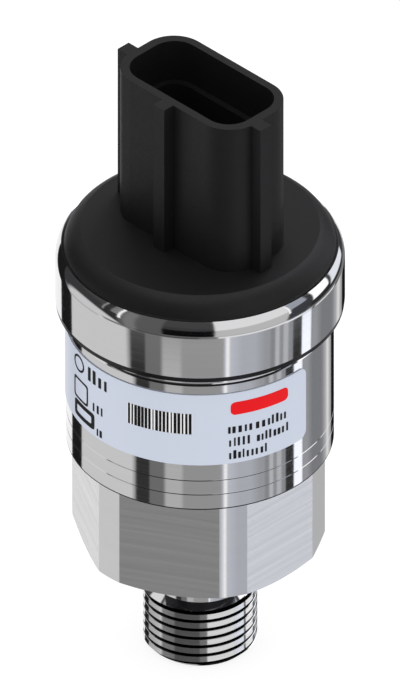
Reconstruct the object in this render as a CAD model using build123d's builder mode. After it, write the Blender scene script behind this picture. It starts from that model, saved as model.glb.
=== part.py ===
# Pressure transmitter with a threaded port, a hexagon, a turned housing and a sealed plug with three blades.
# Millimetres, +Z up. The origin is the middle of the port's free end, and Z is the common axis.
import os

from build123d import *

os.makedirs("parts", exist_ok=True)

# Pressure port
thread_diameter = 11.1125  # 7/16-20 UNF, drawn at its crest
thread_length = 6.68
thread_end_chamfer = 0.65
neck_diameter = 9.6
neck_length = 3.38
boss_diameter = 16.0
boss_height = 2.4
boss_chamfer = 0.35
port_bore_diameter = 3.0
port_mouth_chamfer = 0.3

# Hexagon and round flange
hex_across_flats = 23.0
hex_height = 11.78
hex_turned_diameter = 25.1
hex_face_diameter = 21.84
hex_chamfer_angle = 28.0
corner_flat_cut = 0.62
corner_flat_angle = 30.0  # towards +X, a little towards +Y
flange_height = 1.76
seam_chamfer = 0.12

# Housing sleeve
body_diameter = 26.0
sleeve_wall = 1.1
sleeve_height = 16.7
clamp_flange_height = 1.4
clamp_flange_reach = 0.5
spigot_height = 3.0
groove_depth = 0.12
groove_width = 0.2
lower_groove_level = 1.66  # above the seam
upper_groove_level = 12.99  # above the seam
press_clearance = 0.02

# Crimp ring
ring_wall = 0.55
ring_foot_height = 1.2
ring_foot_chamfer = 0.15
ring_clearance = 0.03
roll_rise = 1.69
roll_reach = 0.58
roll_tip = 0.26
roll_tip_drop = 0.17

# Connector plug: disc, clamping edge and skirt
plug_edge_height = 2.5
plug_land_height = 0.2
shoulder_rise = 1.88
shoulder_reach = 1.57
shoulder_bulge = 0.3
plug_floor_thickness = 3.3
skirt_length = 4.0
skirt_wall = 1.85
skirt_clearance = 0.05
seal_groove_depth = 0.95
seal_groove_width = 1.5
seal_groove_rise = 1.1

# Connector plug: blade shroud, keying ribs and lock ramp
shroud_offset = 0.25  # towards +Y
shroud_height = 16.9
shroud_length = 17.04
shroud_width = 9.36
shroud_corner = 3.37
shroud_wall = 0.83
shroud_end_wall = 0.95
step_depth = 4.6
step_width = 0.65
socket_depth = 13.7
front_rib_width = 1.48
front_rib_reach = 1.23
side_rib_width = 1.5
side_rib_reach = 1.28
side_rib_offset = 1.0  # towards -Y from the shroud's middle
rib_overlap = 0.5
lock_width = 4.2
lock_reach = 1.3
lock_height = 3.2
lock_catch_height = 0.7
lock_drop = 3.4

# Blades
blade_pitch = 4.6
blade_count = 3
blade_width = 1.5
blade_thickness = 0.8
blade_tip_drop = 5.5
blade_tip_chamfer = 0.35
blade_anchor_width = 2.1
blade_anchor_height = 3.2
blade_anchor_rise = 2.2
blade_tail_width = 0.9
blade_tail_stub = 0.7
insert_clearance = 0.01
pool_length = 12.8
pool_width = 4.4
pool_depth = 1.3
pool_corner = 1.2

# Pressure sensor
pocket_diameter = 16.0
pocket_depth = 9.0
chamber_depth = 1.0
chamber_ledge = 0.2
sensor_clearance = 0.04
weld_ring_height = 0.8
weld_ring_inset = 0.76
weld_ring_wall = 1.5
diaphragm_thickness = 0.08
diaphragm_flat = 3.6
diaphragm_wave = 0.12
diaphragm_waves = 3
header_height = 4.7
oil_recess_depth = 0.25
die_pocket_wall = 1.0
die_pocket_depth = 1.3
die_size = 2.4
die_height = 0.8
die_etch_size = 1.6
die_etch_depth = 0.5
die_etch_taper = 35.0
header_groove_width = 1.8
header_groove_depth = 1.25
header_groove_rise = 1.6
pin_count = 4
first_pin_angle = 45.0
pin_diameter = 0.45
pin_circle = 5.4  # diameter through the pins
pin_reach = 0.5
glass_diameter = 1.4
fill_hole_diameter = 0.7
fill_ball_diameter = 1.0
fill_seat_depth = 1.0
lock_ring_height = 2.2
lock_ring_wall = 2.2
lock_slot_width = 1.2
lock_slot_depth = 0.9
seal_squash = 0.02
seal_chamfer = 0.25

# Circuit boards and what they carry
board_thickness = 1.0
board_clearance = 0.1
stack_clearance = 0.05
carrier_clearance = 0.15
carrier_ring_height = 2.0
carrier_ring_wall = 2.15
carrier_post_wall = 0.9
carrier_post_width = 6.0
carrier_post_count = 3
hole_clearance = 0.08
link_count = 3
link_pitch = 2.0
link_size = 0.5
link_hole_diameter = 0.85
link_margin = 3.55  # from the board's edge, at -Y
link_strip_height = 1.8
link_strip_width = 2.4
chip_size = 5.0
chip_height = 0.9
chip_margin = 4.55  # from the board's edge, at -X
chip_mark_diameter = 0.6
chip_mark_depth = 0.08
small_part_length = 1.6
small_part_width = 0.8
capacitor_height = 0.8
resistor_height = 0.5
small_part_pitch = 2.4
capacitor_margin = 4.35  # from the board's edge, at +X
resistor_margin = 4.15  # from the board's edge, at +Y
filter_length = 3.2
filter_width = 1.6
filter_height = 1.2
filter_offset = 4.6
diode_length = 4.6
diode_width = 2.7
diode_height = 2.1
diode_chamfer = 0.3
diode_offset = 5.6

# Label
label_sweep = 190.0
label_end_angle = 6.7
label_bottom = 3.6  # above the seam
label_height = 8.3
label_thickness = 0.1
label_gap = 0.01
label_corner = 0.9

# Levels along the axis, from the port's free end upwards
neck_top = thread_length + neck_length
hex_bottom = neck_top + boss_height
hex_top = hex_bottom + hex_height
seam_level = hex_top + flange_height
spigot_top = seam_level + spigot_height
sleeve_top = seam_level + sleeve_height
clamp_flange_bottom = sleeve_top - clamp_flange_height
ring_bottom = clamp_flange_bottom - ring_foot_height
roll_start = sleeve_top + plug_edge_height
roll_top = roll_start + roll_rise
land_top = roll_top - roll_tip_drop + plug_land_height
plug_top = land_top + shoulder_rise
plug_underside = plug_top - plug_floor_thickness
skirt_bottom = sleeve_top - skirt_length
rim_level = plug_top + shroud_height
pocket_floor = spigot_top - pocket_depth
diaphragm_level = pocket_floor + weld_ring_height
header_bottom = diaphragm_level + diaphragm_thickness
header_top = header_bottom + header_height
die_ceiling = header_bottom + die_pocket_depth
lower_board_level = spigot_top + carrier_ring_height
lower_board_top = lower_board_level + board_thickness
upper_board_top = skirt_bottom - stack_clearance
upper_board_level = upper_board_top - board_thickness

# Radii that more than one piece shares
body_radius = body_diameter / 2
sleeve_bore_radius = body_radius - sleeve_wall
clamp_radius = body_radius + clamp_flange_reach
ring_bore_radius = clamp_radius + ring_clearance
ring_radius = ring_bore_radius + ring_wall
roll_tip_radius = ring_radius - roll_reach - roll_tip
skirt_radius = sleeve_bore_radius - skirt_clearance
carrier_radius = sleeve_bore_radius - carrier_clearance
post_inner_radius = carrier_radius - carrier_post_wall
lower_board_radius = post_inner_radius - board_clearance
link_offset = lower_board_radius - link_margin
chip_offset = lower_board_radius - chip_margin
capacitor_offset = lower_board_radius - capacitor_margin
resistor_offset = lower_board_radius - resistor_margin
pocket_radius = pocket_diameter / 2
header_radius = pocket_radius - sensor_clearance
diaphragm_radius = header_radius - weld_ring_inset
weld_bore_radius = diaphragm_radius - weld_ring_wall
chamber_radius = weld_bore_radius - chamber_ledge
die_pocket_radius = (pin_circle + 2 * die_pocket_wall) / 2
fill_offset = (die_pocket_radius + weld_bore_radius) / 2


def groove_profile(radius, level):
    """Returns the V-shaped profile that cuts a fine turned groove into a wall of this radius."""
    with BuildSketch() as profile:
        with BuildLine():
            Polyline(
                (radius + groove_depth, level - groove_width),
                (radius - groove_depth, level),
                (radius + groove_depth, level + groove_width),
                close=True,
            )
        make_face()
    return profile.sketch


def blade_profile(gap=0.0):
    """Returns the upright outline of one blade: tip, shank, anchor and solder tail, grown by a gap."""
    tip_level = rim_level - blade_tip_drop
    tail_level = upper_board_level - blade_tail_stub
    half_tip = blade_width / 2 - blade_tip_chamfer
    half_shank = blade_width / 2 + gap
    half_anchor = blade_anchor_width / 2 + gap
    half_tail = blade_tail_width / 2 + gap
    anchor_low = plug_underside + blade_anchor_rise - gap
    anchor_high = anchor_low + blade_anchor_height + 2 * gap
    with BuildSketch() as profile:
        with BuildLine():
            right_side = Polyline(
                (0, tip_level),
                (half_tip, tip_level),
                (half_shank, tip_level - blade_tip_chamfer),
                (half_shank, anchor_high),
                (half_anchor, anchor_high),
                (half_anchor, anchor_low),
                (half_tail, anchor_low),
                (half_tail, tail_level),
                (0, tail_level),
            )
            mirror(right_side, about=Plane.YZ)
        make_face()
    return profile.sketch


def ring_section(inner_radius, outer_radius, low, high):
    """Returns the section of a square-cut seal ring, with broken corners, between two radii and two levels."""
    with BuildSketch() as section:
        with Locations(((inner_radius + outer_radius) / 2, (low + high) / 2)):
            Rectangle(outer_radius - inner_radius, high - low)
        chamfer(section.vertices(), length=seal_chamfer)
    return section.sketch


blade_places = [blade_pitch * (index - (blade_count - 1) / 2) for index in range(blade_count)]

# Port body: thread, neck, boss, hexagon, flange and spigot in one turned piece
with BuildPart() as port_body:
    with BuildSketch(Plane.XY.offset(hex_bottom)):
        RegularPolygon(hex_across_flats / 2, 6, major_radius=False, rotation=30)
    extrude(amount=hex_height)
    # The corners are turned off, and the lower edge is chamfered on the lathe
    with BuildSketch(Plane.XZ):
        with Locations((0, hex_bottom)):
            Rectangle(hex_turned_diameter / 2, hex_height, align=Align.MIN)
    revolve(axis=Axis.Z, mode=Mode.INTERSECT)
    with BuildSketch(Plane.XZ):
        with BuildLine():
            chamfer_start = (hex_face_diameter / 2, hex_bottom)
            chamfer_end = (hex_face_diameter / 2 + hex_turned_diameter, hex_bottom)
            chamfer_line = PolarLine(
                chamfer_start, hex_turned_diameter, hex_chamfer_angle, length_mode=LengthMode.HORIZONTAL
            )
            Line(chamfer_line @ 1, chamfer_end)
            Line(chamfer_end, chamfer_start)
        make_face()
    revolve(axis=Axis.Z, mode=Mode.SUBTRACT)
    # One corner carries a milled flat
    with BuildSketch(Plane.XY.offset(hex_bottom)):
        with PolarLocations(hex_turned_diameter / 2 - corner_flat_cut, 1, start_angle=corner_flat_angle):
            Rectangle(hex_turned_diameter, hex_turned_diameter, align=(Align.MIN, Align.CENTER))
    extrude(amount=hex_height, mode=Mode.SUBTRACT)
    thread_radius = thread_diameter / 2
    neck_radius = neck_diameter / 2
    with BuildSketch(Plane.XZ):
        with BuildLine():
            Polyline(
                (0, 0),
                (thread_radius - thread_end_chamfer, 0),
                (thread_radius, thread_end_chamfer),
                (thread_radius, thread_length),
                (neck_radius, thread_length + thread_radius - neck_radius),
                (neck_radius, neck_top),
                (boss_diameter / 2 - boss_chamfer, neck_top),
                (boss_diameter / 2, neck_top + boss_chamfer),
                (boss_diameter / 2, hex_bottom),
                (0, hex_bottom),
                close=True,
            )
        make_face()
        with BuildLine():
            Polyline(
                (0, hex_top),
                (body_radius, hex_top),
                (body_radius, seam_level - seam_chamfer),
                (body_radius - seam_chamfer, seam_level),
                (sleeve_bore_radius - press_clearance, seam_level),
                (sleeve_bore_radius - press_clearance, spigot_top - seam_chamfer),
                (sleeve_bore_radius - press_clearance - seam_chamfer, spigot_top),
                (0, spigot_top),
                close=True,
            )
        make_face()
    revolve(axis=Axis.Z)
    # Sensor pocket, pressure chamber and bore
    with BuildSketch(Plane.XZ):
        with BuildLine():
            bore_radius = port_bore_diameter / 2
            Polyline(
                (0, 0),
                (bore_radius + port_mouth_chamfer, 0),
                (bore_radius, port_mouth_chamfer),
                (bore_radius, pocket_floor - chamber_depth),
                (chamber_radius, pocket_floor - chamber_depth),
                (chamber_radius, pocket_floor),
                (pocket_radius, pocket_floor),
                (pocket_radius, spigot_top),
                (0, spigot_top),
                close=True,
            )
        make_face()
    revolve(axis=Axis.Z, mode=Mode.SUBTRACT)
port_body.part.label = "port_body"
export_step(port_body.part, "parts/port_body.step")

# Sleeve: tube pressed over the spigot, with a flange at its top that the crimp ring grips
with BuildPart() as sleeve:
    with BuildSketch(Plane.XZ):
        with BuildLine():
            Polyline(
                (sleeve_bore_radius, seam_level),
                (body_radius - seam_chamfer, seam_level),
                (body_radius, seam_level + seam_chamfer),
                (body_radius, clamp_flange_bottom),
                (clamp_radius, clamp_flange_bottom),
                (clamp_radius, sleeve_top),
                (sleeve_bore_radius, sleeve_top),
                close=True,
            )
        make_face()
    revolve(axis=Axis.Z)
    for groove_level in (lower_groove_level, upper_groove_level):
        with BuildSketch(Plane.XZ):
            add(groove_profile(body_radius, seam_level + groove_level))
        revolve(axis=Axis.Z, mode=Mode.SUBTRACT)
sleeve.part.label = "sleeve"
export_step(sleeve.part, "parts/sleeve.step")

# Crimp ring: its foot hooks under the sleeve's flange, and its upper edge is rolled over the plug
with BuildPart() as crimp_ring:
    with BuildSketch(Plane.XZ):
        with BuildLine():
            foot = Polyline(
                (ring_bore_radius, roll_start),
                (ring_bore_radius, clamp_flange_bottom),
                (body_radius + ring_clearance, clamp_flange_bottom),
                (body_radius + ring_clearance, ring_bottom),
                (ring_radius - ring_foot_chamfer, ring_bottom),
                (ring_radius, ring_bottom + ring_foot_chamfer),
                (ring_radius, roll_start),
            )
            outer_roll = TangentArc(foot @ 1, (roll_tip_radius + roll_tip, roll_top), tangent=(0, 1))
            Polyline(outer_roll @ 1, (roll_tip_radius, roll_top - roll_tip_drop), foot @ 0)
        make_face()
    revolve(axis=Axis.Z)
crimp_ring.part.label = "crimp_ring"
export_step(crimp_ring.part, "parts/crimp_ring.step")

# Connector plug: one moulding
with BuildPart() as connector_plug:
    # Disc, rounded shoulder, clamping edge and skirt with its seal groove
    plug_edge_radius = ring_bore_radius - ring_clearance
    land_radius = roll_tip_radius - ring_clearance
    seal_groove_low = skirt_bottom + seal_groove_rise
    with BuildSketch(Plane.XZ):
        with BuildLine():
            underside = Polyline(
                (0, plug_top),
                (0, plug_underside),
                (skirt_radius - skirt_wall, plug_underside),
                (skirt_radius - skirt_wall, skirt_bottom),
                (skirt_radius, skirt_bottom),
                (skirt_radius, seal_groove_low),
                (skirt_radius - seal_groove_depth, seal_groove_low),
                (skirt_radius - seal_groove_depth, seal_groove_low + seal_groove_width),
                (skirt_radius, seal_groove_low + seal_groove_width),
                (skirt_radius, sleeve_top),
                (plug_edge_radius, sleeve_top),
                (plug_edge_radius, roll_start),
            )
            land = Polyline(
                underside @ 1,
                (land_radius, roll_top - roll_tip_drop),
                (land_radius, land_top),
            )
            shoulder = SagittaArc(
                land @ 1, (land_radius - shoulder_reach, plug_top), -shoulder_bulge
            )
            Line(shoulder @ 1, underside @ 0)
        make_face()
    revolve(axis=Axis.Z)
    # Shroud with three keying ribs, all from the disc to the rim
    with BuildSketch(Plane.XY.offset(plug_top)):
        with Locations((0, shroud_offset)):
            RectangleRounded(shroud_length, shroud_width, shroud_corner)
        with Locations((0, shroud_offset - shroud_width / 2 - front_rib_reach)):
            Rectangle(
                front_rib_width, front_rib_reach + rib_overlap, align=(Align.CENTER, Align.MIN)
            )
        for side, align in ((-1, Align.MIN), (1, Align.MAX)):
            with Locations((side * (shroud_length / 2 + side_rib_reach), shroud_offset - side_rib_offset)):
                Rectangle(side_rib_reach + rib_overlap, side_rib_width, align=(align, Align.CENTER))
    extrude(amount=shroud_height)
    # Lock ramp on the back of the shroud
    lock_face = shroud_offset + shroud_width / 2
    lock_top = rim_level - lock_drop
    with BuildSketch(Plane.YZ):
        with BuildLine():
            Polyline(
                (lock_face - rib_overlap, lock_top),
                (lock_face, lock_top),
                (lock_face + lock_reach, lock_top - lock_height + lock_catch_height),
                (lock_face + lock_reach, lock_top - lock_height),
                (lock_face - rib_overlap, lock_top - lock_height),
                close=True,
            )
        make_face()
    extrude(amount=lock_width / 2, both=True)
    # Socket: wide above the step, narrower below it
    socket_length = shroud_length - 2 * shroud_end_wall
    socket_width = shroud_width - 2 * shroud_wall
    socket_corner = shroud_corner - shroud_wall
    with BuildSketch(Plane.XY.offset(rim_level)):
        with Locations((0, shroud_offset)):
            RectangleRounded(socket_length, socket_width, socket_corner)
    extrude(amount=-step_depth, mode=Mode.SUBTRACT)
    with BuildSketch(Plane.XY.offset(rim_level - step_depth)):
        with Locations((0, shroud_offset)):
            RectangleRounded(
                socket_length - 2 * step_width, socket_width - 2 * step_width, socket_corner - step_width
            )
    extrude(amount=step_depth - socket_depth, mode=Mode.SUBTRACT)
    # Recess for the sealing resin under the blades
    with BuildSketch(Plane.XY.offset(plug_underside)):
        with Locations((0, shroud_offset)):
            RectangleRounded(pool_length, pool_width, pool_corner)
    extrude(amount=pool_depth, mode=Mode.SUBTRACT)
    # Slots that hold the blades
    for place in blade_places:
        with BuildSketch(Plane((place, shroud_offset, 0), x_dir=(1, 0, 0), z_dir=(0, -1, 0))):
            add(blade_profile(insert_clearance))
        extrude(amount=blade_thickness / 2 + insert_clearance, both=True, mode=Mode.SUBTRACT)
connector_plug.part.label = "connector_plug"
export_step(connector_plug.part, "parts/connector_plug.step")

# Blades: three flat contacts moulded into the plug and soldered to the upper board
for index, place in enumerate(blade_places, start=1):
    with BuildPart() as blade:
        with BuildSketch(Plane((place, shroud_offset, 0), x_dir=(1, 0, 0), z_dir=(0, -1, 0))):
            add(blade_profile())
        extrude(amount=blade_thickness / 2, both=True)
    blade.part.label = f"blade_{index}"
    export_step(blade.part, f"parts/blade_{index}.step")

# Blade sealant: resin poured into the recess round the blades
with BuildPart() as blade_sealant:
    with BuildSketch(Plane.XY.offset(plug_underside)):
        with Locations((0, shroud_offset)):
            RectangleRounded(
                pool_length - 2 * insert_clearance,
                pool_width - 2 * insert_clearance,
                pool_corner - insert_clearance,
            )
        with Locations(*((place, shroud_offset) for place in blade_places)):
            Rectangle(
                blade_tail_width + 2 * insert_clearance,
                blade_thickness + 2 * insert_clearance,
                mode=Mode.SUBTRACT,
            )
    extrude(amount=pool_depth)
blade_sealant.part.label = "blade_sealant"
export_step(blade_sealant.part, "parts/blade_sealant.step")

# Plug seal: ring between the skirt and the sleeve's bore
with BuildPart() as plug_seal:
    with BuildSketch(Plane.XZ):
        seal_low = seal_groove_low + seal_squash
        seal_high = seal_groove_low + seal_groove_width - seal_squash
        seal_inner = skirt_radius - seal_groove_depth + seal_squash
        add(ring_section(seal_inner, sleeve_bore_radius - seal_squash, seal_low, seal_high))
    revolve(axis=Axis.Z)
plug_seal.part.label = "plug_seal"
export_step(plug_seal.part, "parts/plug_seal.step")

# Weld ring: clamps the diaphragm against the header
with BuildPart() as weld_ring:
    with BuildSketch(Plane.XY.offset(pocket_floor)):
        Circle(diaphragm_radius)
        Circle(weld_bore_radius, mode=Mode.SUBTRACT)
    extrude(amount=weld_ring_height)
weld_ring.part.label = "weld_ring"
export_step(weld_ring.part, "parts/weld_ring.step")

# Diaphragm: thin disc with pressed rings between a flat middle and a flat rim
with BuildPart() as diaphragm:
    flat_radius = diaphragm_flat / 2
    wave_length = (weld_bore_radius - flat_radius) / diaphragm_waves
    wave_line = [(0, 0), (flat_radius, 0)]
    for wave in range(diaphragm_waves):
        wave_middle = flat_radius + (wave + 0.5) * wave_length
        wave_line.append((wave_middle, diaphragm_wave))
        wave_line.append((wave_middle + wave_length / 2, 0))
    wave_line.append((diaphragm_radius, 0))
    lower_side = [(radius, diaphragm_level + rise) for radius, rise in wave_line]
    upper_side = [(radius, header_bottom + rise) for radius, rise in reversed(wave_line)]
    with BuildSketch(Plane.XZ):
        with BuildLine():
            Polyline(*lower_side, *upper_side, close=True)
        make_face()
    revolve(axis=Axis.Z)
diaphragm.part.label = "diaphragm"
export_step(diaphragm.part, "parts/diaphragm.step")

# Sensor header: steel body with the oil recess, the die pocket, the pin holes and the filling hole
with BuildPart() as sensor_header:
    groove_low = header_bottom + header_groove_rise
    with BuildSketch(Plane.XZ):
        with BuildLine():
            Polyline(
                (0, die_ceiling),
                (die_pocket_radius, die_ceiling),
                (die_pocket_radius, header_bottom + oil_recess_depth),
                (weld_bore_radius, header_bottom + oil_recess_depth),
                (weld_bore_radius, header_bottom),
                (header_radius, header_bottom),
                (header_radius, groove_low),
                (header_radius - header_groove_depth, groove_low),
                (header_radius - header_groove_depth, groove_low + header_groove_width),
                (header_radius, groove_low + header_groove_width),
                (header_radius, header_top),
                (0, header_top),
                close=True,
            )
        make_face()
    revolve(axis=Axis.Z)
    with Locations((0, 0, header_top)):
        with PolarLocations(pin_circle / 2, pin_count, start_angle=first_pin_angle):
            Hole(glass_diameter / 2)
    with Locations((fill_offset, 0, header_top)):
        CounterBoreHole(fill_hole_diameter / 2, fill_ball_diameter / 2 + sensor_clearance, fill_seat_depth)
sensor_header.part.label = "sensor_header"
export_step(sensor_header.part, "parts/sensor_header.step")

# Fill ball: closes the oil filling hole
with BuildPart() as fill_ball:
    with Locations((fill_offset, 0, header_top - fill_seat_depth + fill_ball_diameter / 2)):
        Sphere(fill_ball_diameter / 2)
fill_ball.part.label = "fill_ball"
export_step(fill_ball.part, "parts/fill_ball.step")

# Sensor die: silicon block with an etched hollow in its bonded side
with BuildPart() as sensor_die:
    with BuildSketch(Plane.XY.offset(die_ceiling)):
        Rectangle(die_size, die_size)
    extrude(amount=-die_height)
    with BuildSketch(Plane.XY.offset(die_ceiling)):
        Rectangle(die_etch_size, die_etch_size)
    extrude(amount=-die_etch_depth, taper=die_etch_taper, mode=Mode.SUBTRACT)
sensor_die.part.label = "sensor_die"
export_step(sensor_die.part, "parts/sensor_die.step")

# Glass beads: insulate the header's pins
with BuildPart() as glass_beads:
    with BuildSketch(Plane.XY.offset(die_ceiling)):
        with PolarLocations(pin_circle / 2, pin_count, start_angle=first_pin_angle):
            Circle(glass_diameter / 2 - insert_clearance)
            Circle(pin_diameter / 2 + insert_clearance, mode=Mode.SUBTRACT)
    extrude(amount=header_top - die_ceiling)
glass_beads.part.label = "glass_beads"
export_step(glass_beads.part, "parts/glass_beads.step")

# Header pins: from the die pocket up through the lower board
with BuildPart() as header_pins:
    with BuildSketch(Plane.XY.offset(die_ceiling - pin_reach)):
        with PolarLocations(pin_circle / 2, pin_count, start_angle=first_pin_angle):
            Circle(pin_diameter / 2)
    extrude(amount=lower_board_top + 2 * pin_reach - die_ceiling)
header_pins.part.label = "header_pins"
export_step(header_pins.part, "parts/header_pins.step")

# Sensor seal: ring in the header's groove
with BuildPart() as sensor_seal:
    with BuildSketch(Plane.XZ):
        seal_low = groove_low + seal_squash
        seal_high = groove_low + header_groove_width - seal_squash
        seal_inner = header_radius - header_groove_depth + seal_squash
        add(ring_section(seal_inner, pocket_radius - seal_squash, seal_low, seal_high))
    revolve(axis=Axis.Z)
sensor_seal.part.label = "sensor_seal"
export_step(sensor_seal.part, "parts/sensor_seal.step")

# Lock ring: screwed down on the header, with two spanner slots
with BuildPart() as lock_ring:
    with BuildSketch(Plane.XY.offset(header_top)):
        Circle(header_radius)
        Circle(header_radius - lock_ring_wall, mode=Mode.SUBTRACT)
    extrude(amount=lock_ring_height)
    with BuildSketch(Plane.XY.offset(header_top + lock_ring_height)):
        Rectangle(pocket_diameter, lock_slot_width)
    extrude(amount=-lock_slot_depth, mode=Mode.SUBTRACT)
lock_ring.part.label = "lock_ring"
export_step(lock_ring.part, "parts/lock_ring.step")

# Board carrier: ring on the spigot with posts that hold up the upper board
with BuildPart() as board_carrier:
    with BuildSketch(Plane.XY.offset(spigot_top)):
        Circle(carrier_radius)
        Circle(carrier_radius - carrier_ring_wall, mode=Mode.SUBTRACT)
    extrude(amount=carrier_ring_height)
    with BuildSketch(Plane.XY.offset(lower_board_level)) as post_sketch:
        Circle(carrier_radius)
        Circle(post_inner_radius, mode=Mode.SUBTRACT)
        with BuildSketch(Plane.XY, mode=Mode.PRIVATE) as post_windows:
            with PolarLocations(carrier_radius, carrier_post_count, start_angle=90):
                Rectangle(carrier_radius, carrier_post_width)
        add(post_windows.sketch, mode=Mode.INTERSECT)
    extrude(amount=upper_board_level - lower_board_level)
board_carrier.part.label = "board_carrier"
export_step(board_carrier.part, "parts/board_carrier.step")

link_places = [link_pitch * (index - (link_count - 1) / 2) for index in range(link_count)]

# Lower board: over the sensor, with holes for the header's pins and the link pins
with BuildPart() as lower_board:
    with BuildSketch(Plane.XY.offset(lower_board_level)):
        Circle(lower_board_radius)
        with PolarLocations(pin_circle / 2, pin_count, start_angle=first_pin_angle):
            Circle(pin_diameter / 2 + hole_clearance, mode=Mode.SUBTRACT)
        with Locations(*((place, -link_offset) for place in link_places)):
            Circle(link_hole_diameter / 2, mode=Mode.SUBTRACT)
    extrude(amount=board_thickness)
lower_board.part.label = "lower_board"
export_step(lower_board.part, "parts/lower_board.step")

# Signal chip: flat package with a round corner mark
with BuildPart() as signal_chip:
    with BuildSketch(Plane.XY.offset(lower_board_top)):
        with Locations((-chip_offset, 0)):
            Rectangle(chip_size, chip_size)
    extrude(amount=chip_height)
    with BuildSketch(Plane.XY.offset(lower_board_top + chip_height)):
        mark_place = chip_size / 2 - chip_mark_diameter
        with Locations((-chip_offset - mark_place, mark_place)):
            Circle(chip_mark_diameter / 2)
    extrude(amount=-chip_mark_depth, mode=Mode.SUBTRACT)
signal_chip.part.label = "signal_chip"
export_step(signal_chip.part, "parts/signal_chip.step")

# Small capacitors: one row beside the sensor pins
with BuildPart() as lower_capacitors:
    with BuildSketch(Plane.XY.offset(lower_board_top)):
        with Locations((capacitor_offset, 0)):
            with GridLocations(small_part_pitch, small_part_pitch, 1, 3):
                Rectangle(small_part_length, small_part_width)
    extrude(amount=capacitor_height)
lower_capacitors.part.label = "lower_capacitors"
export_step(lower_capacitors.part, "parts/lower_capacitors.step")

# Small resistors: one row behind the sensor pins
with BuildPart() as lower_resistors:
    with BuildSketch(Plane.XY.offset(lower_board_top)):
        with Locations((0, resistor_offset)):
            with GridLocations(small_part_pitch, small_part_pitch, 4, 1):
                Rectangle(small_part_width, small_part_length)
    extrude(amount=resistor_height)
lower_resistors.part.label = "lower_resistors"
export_step(lower_resistors.part, "parts/lower_resistors.step")

# Link strip: holds the link pins upright on the lower board
with BuildPart() as link_strip:
    with BuildSketch(Plane.XY.offset(lower_board_top)):
        with Locations((0, -link_offset)):
            Rectangle(link_pitch * link_count, link_strip_width)
        with Locations(*((place, -link_offset) for place in link_places)):
            Rectangle(
                link_size + 2 * insert_clearance, link_size + 2 * insert_clearance, mode=Mode.SUBTRACT
            )
    extrude(amount=link_strip_height)
link_strip.part.label = "link_strip"
export_step(link_strip.part, "parts/link_strip.step")

# Link pins: square pins that join the two boards, one for each blade
with BuildPart() as link_pins:
    with BuildSketch(Plane.XY.offset(lower_board_level - pin_reach)):
        with Locations(*((place, -link_offset) for place in link_places)):
            Rectangle(link_size, link_size)
    extrude(amount=upper_board_top - lower_board_level + 2 * pin_reach)
link_pins.part.label = "link_pins"
export_step(link_pins.part, "parts/link_pins.step")

# Upper board: on the carrier's posts, with slots for the blades' tails
with BuildPart() as upper_board:
    with BuildSketch(Plane.XY.offset(upper_board_level)):
        Circle(carrier_radius)
        with Locations(*((place, -link_offset) for place in link_places)):
            Circle(link_hole_diameter / 2, mode=Mode.SUBTRACT)
        with Locations(*((place, shroud_offset) for place in blade_places)):
            Rectangle(
                blade_tail_width + 2 * hole_clearance,
                blade_thickness + 2 * hole_clearance,
                mode=Mode.SUBTRACT,
            )
    extrude(amount=board_thickness)
upper_board.part.label = "upper_board"
export_step(upper_board.part, "parts/upper_board.step")

# Filter capacitors: one in front of each blade
with BuildPart() as filter_capacitors:
    with BuildSketch(Plane.XY.offset(upper_board_top)):
        with Locations((0, shroud_offset - filter_offset)):
            with GridLocations(blade_pitch, blade_pitch, blade_count, 1):
                Rectangle(filter_length, filter_width)
    extrude(amount=filter_height)
filter_capacitors.part.label = "filter_capacitors"
export_step(filter_capacitors.part, "parts/filter_capacitors.step")

# Surge diode: moulded block behind the blades
with BuildPart() as surge_diode:
    with BuildSketch(Plane.XY.offset(upper_board_top)):
        with Locations((0, shroud_offset + diode_offset)):
            Rectangle(diode_length, diode_width)
    extrude(amount=diode_height)
    chamfer(surge_diode.faces().sort_by(Axis.Z)[-1].edges(), length=diode_chamfer)
surge_diode.part.label = "surge_diode"
export_step(surge_diode.part, "parts/surge_diode.step")

# Label: film wrapped round the front of the sleeve, with rounded corners
with BuildPart() as label:
    label_low = seam_level + label_bottom
    film_inner = body_radius + label_gap
    with BuildSketch(Plane.XZ.rotated((0, 0, label_end_angle))):
        with Locations((film_inner, label_low)):
            Rectangle(label_thickness, label_height, align=Align.MIN)
    revolve(axis=Axis.Z, revolution_arc=-label_sweep)
    corner_edges = label.edges().filter_by(
        lambda edge: abs(edge.length - label_thickness) < label_thickness / 2
    )
    fillet(corner_edges, radius=label_corner)
label.part.label = "label"
export_step(label.part, "parts/label.step")
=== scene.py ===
"""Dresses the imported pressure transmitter: its thread, print, finishes, stage, light and camera."""
import logging
import math
import random
from dataclasses import dataclass
from enum import Enum
from functools import partial
from itertools import cycle

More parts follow.
